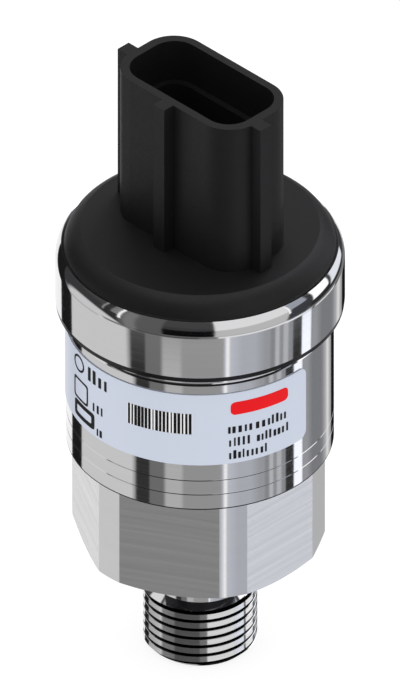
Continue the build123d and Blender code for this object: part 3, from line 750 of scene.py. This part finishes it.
@dataclass
class Housing:
    """The turned sleeve and the collar rolled over the plug. Sizes are in metres."""

    bore_radius: float = 11.9 * MM
    radius: float = 13.0 * MM
    flange_radius: float = 13.5 * MM
    foot_level: float = 26.0 * MM
    flange_level: float = 41.3 * MM
    top_level: float = 42.7 * MM
    edge_chamfer: float = 0.05 * MM
    grooves: tuple[Point, ...] = ((27.66 * MM, 0.05 * MM), (39.05 * MM, 0.18 * MM))
    collar_bore_radius: float = 13.53 * MM
    collar_radius: float = 14.075 * MM
    collar_hook_radius: float = 13.03 * MM
    collar_foot_level: float = 40.1 * MM
    collar_foot_draw: float = 0.06 * MM
    collar_foot_shade_band: float = 0.52 * MM
    roll_level: float = 45.2 * MM
    roll_rise: float = 1.69 * MM
    roll_reach: float = 0.58 * MM
    tip_width: float = 0.26 * MM
    tip_drop: float = 0.17 * MM
    roll_steps: int = 14
    collar_smooth_angle: float = math.radians(6)

    def build_sleeve(self) -> None:
        """Turns the sleeve with its two fine grooves."""
        outline = [
            (self.bore_radius, self.foot_level),
            (self.radius - self.edge_chamfer, self.foot_level),
            (self.radius, self.foot_level + self.edge_chamfer),
        ]
        for level, size in self.grooves:
            outline += [(self.radius, level - size), (self.radius - size, level), (self.radius, level + size)]
        outline += [
            (self.radius, self.flange_level),
            (self.flange_radius, self.flange_level),
            (self.flange_radius, self.top_level),
            (self.bore_radius, self.top_level),
        ]
        piece = finished("housing_sleeve", lathe(outline), ("polished_steel",))
        place_on_body(piece, "polished_steel", "sleeve")

    def build_collar(self) -> None:
        """Turns the collar, rolls its upper edge inwards and paints shade on a band at its foot."""
        roll_radius = (self.roll_rise ** 2 + self.roll_reach ** 2) / (2 * self.roll_reach)
        roll_angle = math.asin(self.roll_rise / roll_radius)
        roll = []
        for step in range(self.roll_steps + 1):
            turn = roll_angle * step / self.roll_steps
            roll.append((
                self.collar_radius - roll_radius * (1 - math.cos(turn)),
                self.roll_level + roll_radius * math.sin(turn),
            ))
        tip_radius, tip_level = roll[-1]
        shade_band_top = self.collar_foot_level + self.collar_foot_shade_band
        mesh = lathe([
            (self.collar_bore_radius, self.roll_level),
            (self.collar_bore_radius, self.flange_level),
            (self.collar_hook_radius, self.flange_level),
            (self.collar_hook_radius, self.collar_foot_level),
            (self.collar_radius - self.collar_foot_draw, self.collar_foot_level),
            (self.collar_radius, shade_band_top),
            *roll,
            (tip_radius - self.tip_width, tip_level - self.tip_drop),
        ])
        # Faces of the band at the collar's foot get painted shade, a dark line under the collar.
        for face in mesh.faces:
            face.material_index = int(max(vert.co.z for vert in face.verts) < shade_band_top + MERGE_DISTANCE)
        finishes = ("polished_steel", "painted_shade_steel")
        piece = finished("rolled_collar", mesh, finishes, self.collar_smooth_angle)
        place_on_body(piece, "polished_steel", "crimp_ring")


@dataclass(frozen=True)
class Block:
    """A printed block on the label: its middle, size and corner, in millimetres from the facing line and foot."""

    across: float
    up: float
    width: float
    height: float
    corner: float


@dataclass(frozen=True)
class Outline:
    """A printed outline on the label: its middle, size and line width in millimetres, and its squareness."""

    across: float
    up: float
    width: float
    height: float
    line: float
    squareness: float = 1.0


@dataclass
class Label:
    """The printed film round the front of the housing. Sizes are in millimetres, angles in radians."""

    inner_radius: float = 13.01
    thickness: float = 0.10
    foot_level: float = 29.6
    height: float = 8.3
    corner: float = 0.9
    sweep: float = math.radians(190)
    end_angle: float = math.radians(6.7)
    facing: float = math.radians(-45)
    ink_sink: float = 0.01
    ink_rise: float = 0.02
    panel_rise_share: float = 0.4
    column_step: float = 0.3
    corner_steps: int = 6
    outline_steps: int = 48
    panel: Block = Block(-4.1, 4.87, 6.7, 2.4, 0.02)
    accent: Block = Block(6.15, 6.45, 6.3, 1.5, 0.5)
    bar_count: int = 18
    bar_pitch: float = 0.37
    bar_widths: Point = (0.07, 0.34)
    bar_seed: int = 11
    letter_corner: float = 0.06
    letter_widths: Point = (0.16, 0.34)
    letter_gaps: Point = (0.16, 0.30)
    letter_heights: tuple[float, ...] = (0.74, 0.74, 1.0)
    text_seed: int = 5
    tree: Tree | None = None
    outlines: tuple[Outline, ...] = (
        Outline(-14.55, 7.0, 2.1, 1.9, 0.24),
        Outline(-14.2, 4.0, 2.8, 2.5, 0.24, 4.0),
        Outline(-13.6, 1.6, 3.7, 1.9, 0.5, 4.0),
    )
    words: tuple[tuple[float, float, float, int], ...] = (
        (-12.8, 6.1, 1.6, 4),
        (-12.0, 2.9, 1.3, 3),
        (-11.4, 0.3, 1.1, 2),
        (2.75, 3.55, 1.05, 5),
        (5.6, 3.55, 1.05, 2),
        (6.9, 3.55, 1.05, 5),
        (2.85, 2.0, 1.0, 5),
        (5.7, 2.0, 1.0, 8),
        (2.85, 0.5, 1.0, 9),
    )

    @property
    def outer_radius(self) -> float:
        """Returns the radius of the film's face."""
        return self.inner_radius + self.thickness

    def build(self) -> None:
        """Builds the film and all that is printed on it."""
        self.tree = wrap_tree()
        self.build_film()
        self.print_piece("label_panel", self.blocks_mesh([self.panel], self.panel_rise_share), "white_ink")
        self.print_piece("label_accent", self.blocks_mesh([self.accent]), "red_ink")
        self.print_piece("label_words", self.blocks_mesh(self.letter_blocks()), "black_ink")
        self.print_piece("label_marks", self.outlines_mesh(), "black_ink")
        self.print_piece("label_bars", self.bars_mesh(), "black_ink")

    def build_film(self) -> None:
        """Cuts the film and wraps it round the sleeve."""
        mesh = bmesh.new()
        film = Block(0.0, self.height / 2, self.sweep * self.outer_radius, self.height, self.corner)
        self.add_block(mesh, film, -self.thickness, 0.0)
        middle = self.end_angle - self.sweep / 2
        place_on_body(self.wrapped("label_sheet", mesh, "label_film", middle), "label_film", "label")

    def print_piece(self, name: str, mesh: Shape, finish: str) -> None:
        """Prints a flat mesh on the film as a piece in one ink."""
        place_on_body(self.wrapped(name, mesh, finish, self.facing), "label_film")

    def wrapped(self, name: str, mesh: Shape, finish: str, facing: float) -> Piece:
        """Wraps a flat mesh round the housing, with its middle at the facing angle."""
        return grown(name, cleaned(name + "_flat", mesh), self.tree, {
            "Radius": self.outer_radius * MM, "Facing": facing, "Level": self.foot_level * MM,
            "Material": FINISHES[finish].material(),
        })

    def add_block(self, mesh: Shape, block: Block, low: float, high: float) -> None:
        """Adds one closed block with rounded corners.

        Args:
            mesh: The mesh that it joins.
            block: The block.
            low: The level of its underside.
            high: The level of its face.
        """
        corner = min(block.corner, block.width / 2, block.height / 2)
        columns = []
        for step in range(self.corner_steps + 1):
            turn = math.pi / 2 * step / self.corner_steps
            columns.append((corner * (1 - math.cos(turn)), corner * (1 - math.sin(turn))))
        straight = block.width - 2 * corner
        count = max(1, round(straight / self.column_step))
        inner = [(corner + straight * step / count, 0.0) for step in range(1, count)]
        columns += inner + [(block.width - place, inset) for place, inset in reversed(columns)]
        rings = []
        for place, inset in columns:
            x = block.across - block.width / 2 + place
            reach = block.height / 2 - inset
            foot, head = block.up - reach, block.up + reach
            rings.append([
                mesh.verts.new(Vector((x, y, z)) * MM)
                for y, z in ((foot, low), (head, low), (head, high), (foot, high))
            ])
        join_rings(mesh, rings, closed=False)
        mesh.faces.new(rings[0])
        mesh.faces.new(reversed(rings[-1]))

    def blocks_mesh(self, blocks: list[Block], rise_share: float = 1.0) -> Shape:
        """Sets several printed blocks flat.

        Args:
            blocks: The blocks.
            rise_share: Their thickness as a share of the ink's.

        Returns:
            The flat mesh.
        """
        mesh = bmesh.new()
        for block in blocks:
            self.add_block(mesh, block, -self.ink_sink, self.ink_rise * rise_share)
        return mesh

    def letter_blocks(self) -> list[Block]:
        """Returns rows of small upright blocks in place of the lines of text."""
        rng = random.Random(self.text_seed)
        blocks = []
        for place, foot, height, count in self.words:
            for _ in range(count):
                width = height * rng.uniform(*self.letter_widths)
                tall = height * rng.choice(self.letter_heights)
                blocks.append(Block(place + width / 2, foot + tall / 2, width, tall, self.letter_corner))
                place += width + height * rng.uniform(*self.letter_gaps)
        return blocks

    def outlines_mesh(self) -> Shape:
        """Sets the round and square outlines flat.

        Returns:
            The flat mesh.
        """
        mesh = bmesh.new()
        low, high = -self.ink_sink, self.ink_rise
        for mark in self.outlines:
            rings = []
            for step in range(self.outline_steps):
                turn = math.tau * step / self.outline_steps
                x, y = (math.copysign(abs(side) ** (1 / mark.squareness), side)
                        for side in (math.cos(turn), math.sin(turn)))
                rings.append([
                    mesh.verts.new(Vector((
                        mark.across + (mark.width / 2 - inset) * x,
                        mark.up + (mark.height / 2 - inset) * y,
                        level,
                    )) * MM)
                    for inset, level in ((0, low), (0, high), (mark.line, high), (mark.line, low))
                ])
            join_rings(mesh, rings)
        return mesh

    def bars_mesh(self) -> Shape:
        """Sets the row of bars flat, where the white panel is.

        Returns:
            The flat mesh.
        """
        narrowest, widest = self.bar_widths
        flat = grown("bars_flat", bpy.data.meshes.new("bars_start"), bar_tree(), {
            "Count": self.bar_count, "Pitch": self.bar_pitch * MM, "Height": self.panel.height * MM,
            "Thickness": (self.ink_rise + self.ink_sink) * MM, "Narrowest": narrowest * MM,
            "Widest": widest * MM, "Seed": self.bar_seed, "Material": FINISHES["black_ink"].material(),
        })
        mesh = bmesh.new()
        mesh.from_mesh(flat.data)
        bpy.data.objects.remove(flat)
        place = Vector((self.panel.across, self.panel.up, self.ink_rise / 2)) * MM
        bmesh.ops.translate(mesh, verts=mesh.verts, vec=place)
        return mesh


def dress_solids() -> None:
    """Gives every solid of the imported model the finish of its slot."""
    for name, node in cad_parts.items():
        slot = node.data.materials[0].name if node.data.materials else "turned_steel"
        finish = FINISHES.get(slot.split(".")[0], FINISHES["turned_steel"])
        node.data.materials.clear()
        node.data.materials.append(finish.material())
        log.info("%s: %s", name, finish.name)


class Outer(Enum):
    """The outer shape of a studio screen."""

    PANEL = "panel"
    OVAL = "oval"


@dataclass(frozen=True)
class Screen:
    """A bright screen or dark gap of the studio, in degrees, seen only in reflections."""

    left: float
    right: float
    low: float
    high: float
    level: float
    blue: float = 0.0
    edge: float = 2.0
    fade: float = 3.0
    outer: Outer = Outer.PANEL

    @property
    def color(self) -> Color:
        """Returns a grey of its level with its share of blue."""
        return (self.level * (1 - self.blue), self.level * (1 - self.blue / 2), self.level * (1 + self.blue))

    def mask(self, graph: Graph, azimuth: Socket, elevation: Socket) -> Socket:
        """Adds the nodes that tell where the screen is.

        Args:
            graph: The world's graph.
            azimuth: The direction's azimuth in degrees.
            elevation: The direction's elevation in degrees.

        Returns:
            The mask's socket, 1 on the screen and 0 off it.
        """
        middle, half = (self.left + self.right) / 2, (self.right - self.left) / 2
        centre, rise = (self.low + self.high) / 2, (self.high - self.low) / 2
        sub, mul, div, size = graph.operations("SUBTRACT", "MULTIPLY", "DIVIDE", "ABSOLUTE")
        aside = graph.math("WRAP", sub(azimuth, middle), 180.0, -180.0)
        upward = sub(elevation, centre)
        if self.outer is Outer.OVAL:
            spread = graph.vector("LENGTH", graph.combine(div(aside, half), div(upward, rise)))
            return graph.remap(spread, 1 - self.edge / half, 1 + self.edge / half, 1.0, 0.0)
        edge, fade = self.edge / 2, self.fade / 2
        across = graph.remap(size(aside), half - edge, half + edge, 1.0, 0.0)
        along = graph.remap(size(upward), rise - fade, rise + fade, 1.0, 0.0)
        return mul(across, along)


@dataclass(frozen=True)
class Lamp:
    """A soft round lamp: its direction in degrees, power in watts, size in metres and colour."""

    name: str
    azimuth: float
    elevation: float
    power: float
    size: float
    color: Color


@dataclass
class Studio:
    """The floor, the light and the camera. Sizes are in metres."""

    floor_half: float = 0.6
    floor_color: Color = (0.25, 0.25, 0.25)
    floor_roughness: float = 0.9
    floor_glow: float = 0.85
    white: Color = (1.0, 1.0, 1.0)
    soft_color: Color = (0.84, 0.84, 0.84)
    target_level: float = 34.35 * MM
    distance: float = 0.5
    camera_azimuth: float = -45.0
    camera_elevation: float = math.degrees(math.atan(1 / math.sqrt(2)))
    view_height: float = 67.45 * MM
    clip: Point = (0.01, 5.0)
    lamps: tuple[Lamp, ...] = (
        Lamp("key_lamp", -100, 50, 0.20, 0.25, (1.0, 0.98, 0.95)),
        Lamp("fill_lamp", 20, 40, 0.20, 0.30, (0.92, 0.95, 1.0)),
    )
    wall_color: Color = (0.045, 0.045, 0.047)
    screens: tuple[Screen, ...] = tuple(Screen(*row) for row in (
        # left, right, low, high, level, blue, edge, fade, outer; later rows lie over earlier ones
        (-181, 181, -91, -22, 0.21, 0, 2, 8),
        (-170, 170, 14, 40, 0.06),
        (-121, -90, -31, 36, 0.03),
        (-174, -100, -114, -6, 0.66, 0, 2, 3, Outer.OVAL),
        (-102, -89, -91, -33.5, 0.03),
        (-109, -73, -25, 38, 0.11),
        (-104, -94, -25, 30, 0.20, 0, 4),
        (-115, -108, 5, 46, 0.22),
        (-122.5, -121.3, 0, 27, 0.4, 0, 1),
        (-108.5, -106, -5, 30, 1.1, 0, 1),
        (-73, -35, -22, 2, 0.004),
        (-89, -26, -91, -33.5, 0.17, 0, 1),
        (-75.5, -26, -91, -33.5, 0.50, 0, 3),
        (-60, -26, -91, -33.5, 0.33, 0, 3),
        (-34, 24, -25, 42, 0.56, 0, 2, 6),
        (-34, 24, 3, 42, 0.84),
        (-26, 34, -91, -30, 0.58, 0.06),
        (-15, 34, -91, -30, 0.49, 0.06, 8),
        (4, 34, -91, -30, 0.37, 0.04, 9),
        (13, 17, -91, -30, 0.28, 0.03),
        (17.5, 21.5, -91, -30, 0.54, 0.03, 1.5),
        (21.5, 25, -91, -30, 0.32, 0.03, 1.5),
        (25, 30, -91, -30, 0.52, 0.03, 1.5),
        (30, 35, -91, -30, 0.30, 0.03),
        (-24.5, -21.5, -91, -26, 1.0, 0, 1.5),
        (-190, -167, -33, -29.5, 0.03, 0, 2, 1),
        (-167, -131, -33, -29.5, 0.46, 0, 2, 1),
        (-131, -126, -33, -30, 0.85, 0, 2, 1),
        (-126, -95, -32, -26, 0.20, 0, 6, 1),
        (-95, -45, -31.5, -25, 0.085, 0, 4, 1),
        (-45, -31, -31, -25, 0.19, 0, 2, 1),
        (-31, 26, -32, -25.5, 0.85, 0, 2, 1),
        (26, 52, -33, -28, 1.0, 0.06, 2, 1),
        (52, 57, -33, -29, 0.05, 0, 2, 1),
        (57, 85, -33, -29.5, 1.1, 0, 2, 1),
        (85, 100, -33.5, -30.5, 0.03, 0, 2, 1),
        (24, 26, -6, 27, 1.2, 0, 1),
        (26, 42, 6, 42, 0.40, 0.10),
        (26, 44, -24, 5, 0.055, 0.10),
        (34.5, 44, -91, -33.5, 0.03, 0, 1),
        (48, 67, -10, 38, 1.3, 0, 1.5),
        (47, 97, -24, -10, 0.03),
        (71, 97, -16, 34, 0.95, 0.04),
        (44, 140, -91, -33, 0.008, 0, 1),
        (44, 55, -91, -33, 1.2, 0.045, 1),
        (55, 110, -91, -33, 0.36, 0.03, 3),
        (65, 88, -91, -33, 0.23, 0.03, 8),
        (92, 108, -91, -33, 0.50, 0, 8),
        (96, 102.5, -91, -33, 0.76, 0, 4),
        (117, 135, -30, -8, 0.9, 0, 2, 2),
        (136, 170, -91, 4, 0.98, 0, 1.5),
        (170, 191, -91, 8, 0.012, 0, 1.5),
        (-130, -112, 37, 46, 0.36),
        (-172, -134, 23, 42, 0.8, 0, 2, 2),
        (-181, 181, 46, 58, 0.004, 0, 2, 1),
        (-181, 181, 58, 95, 1.7, 0, 2, 1),
        (100, 186, 18, 56, 0.55, 0, 2, 8),
        (74, 118, 22, 66, 2.3, 0.05, 8, 8),
    ))

    def build(self) -> None:
        """Builds the floor, the light and the camera."""
        self.build_floor()
        self.build_world()
        self.build_lamps()
        self.build_camera()

    def build_floor(self) -> None:
        """Lays the plain pale floor."""
        mesh = bmesh.new()
        bmesh.ops.create_grid(mesh, x_segments=1, y_segments=1, size=self.floor_half)
        data = bpy.data.meshes.new("studio_floor")
        mesh.to_mesh(data)
        mesh.free()
        material = bpy.data.materials.new("pale_floor")
        material.use_nodes = True
        graph = Graph(material.node_tree)
        surface = graph.add("ShaderNodeBsdfPrincipled", {
            "Base Color": solid(self.floor_color), "Roughness": self.floor_roughness,
            "Emission Color": solid(self.white), "Emission Strength": self.floor_glow,
        })
        graph.add("ShaderNodeOutputMaterial", {"Surface": surface.outputs[0]})
        data.materials.append(material)
        floor = linked("studio_floor", data)
        floor.visible_glossy = False
        floor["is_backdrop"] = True

    def build_world(self) -> None:
        """Builds the room: white to the eye and to soft light, screens and gaps to a reflection."""
        world = bpy.data.worlds.new("studio_room")
        bpy.context.scene.world = world
        world.use_nodes = True
        graph = Graph(world.node_tree)
        x, y, z = graph.split(graph.add("ShaderNodeTexCoord").outputs["Generated"])
        azimuth = graph.math("DEGREES", graph.math("ARCTAN2", y, x))
        elevation = graph.math("DEGREES", graph.math("ARCSINE", z))
        color = solid(self.wall_color)
        for screen in self.screens:
            color = graph.mix(screen.mask(graph, azimuth, elevation), color, solid(screen.color))
        rays = graph.add("ShaderNodeLightPath").outputs
        soft, room, white = (
            graph.add("ShaderNodeBackground", {"Color": shown}).outputs[0]
            for shown in (solid(self.soft_color), color, solid(self.white))
        )
        unseen = graph.add("ShaderNodeMixShader", {0: rays["Is Glossy Ray"], 1: soft, 2: room})
        both = graph.add("ShaderNodeMixShader", {0: rays["Is Camera Ray"], 1: unseen.outputs[0], 2: white})
        graph.add("ShaderNodeOutputWorld", {"Surface": both.outputs[0]})

    def build_lamps(self) -> None:
        """Hangs the soft lamps."""
        for lamp in self.lamps:
            data = bpy.data.lights.new(lamp.name, "AREA")
            data.shape = "DISK"
            data.size = lamp.size
            data.energy = lamp.power
            data.color = lamp.color
            item = linked(lamp.name, data)
            item.visible_glossy = False
            self.aim(item, lamp.azimuth, lamp.elevation)

    def build_camera(self) -> None:
        """Sets the camera at the photograph's angle, with parallel rays."""
        data = bpy.data.cameras.new("photo_camera")
        data.type = "ORTHO"
        data.ortho_scale = self.view_height
        data.clip_start, data.clip_end = self.clip
        camera = linked("photo_camera", data)
        self.aim(camera, self.camera_azimuth, self.camera_elevation)
        bpy.context.scene.camera = camera
        bpy.context.scene.view_settings.view_transform = "Standard"

    def aim(self, item: Piece, azimuth: float, elevation: float) -> None:
        """Hangs a lamp or the camera in a direction and points it at the part.

        Args:
            item: The lamp or the camera.
            azimuth: The direction's azimuth in degrees.
            elevation: The direction's elevation in degrees.
        """
        rise = math.radians(elevation)
        direction = Vector(around(math.cos(rise), math.radians(azimuth), math.sin(rise)))
        item.location = Vector((0, 0, self.target_level)) + direction * self.distance
        item.rotation_euler = direction.to_track_quat("Z", "Y").to_euler()


def corners(box: tuple[Vector, Vector]) -> list[list[float]]:
    """Returns a box's two corners as plain lists."""
    return [list(corner) for corner in box]


def main() -> None:
    """Dresses the whole transmitter and sets the stage."""
    logging.basicConfig(level=logging.INFO, format="%(message)s")
    cad_box = corners(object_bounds())
    dress_solids()
    Port().build()
    housing = Housing()
    housing.build_sleeve()
    housing.build_collar()
    Label().build()
    Studio().build()
    {"cad": cad_box, "visual": corners(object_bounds())}


if __name__ == "__main__":
    main()
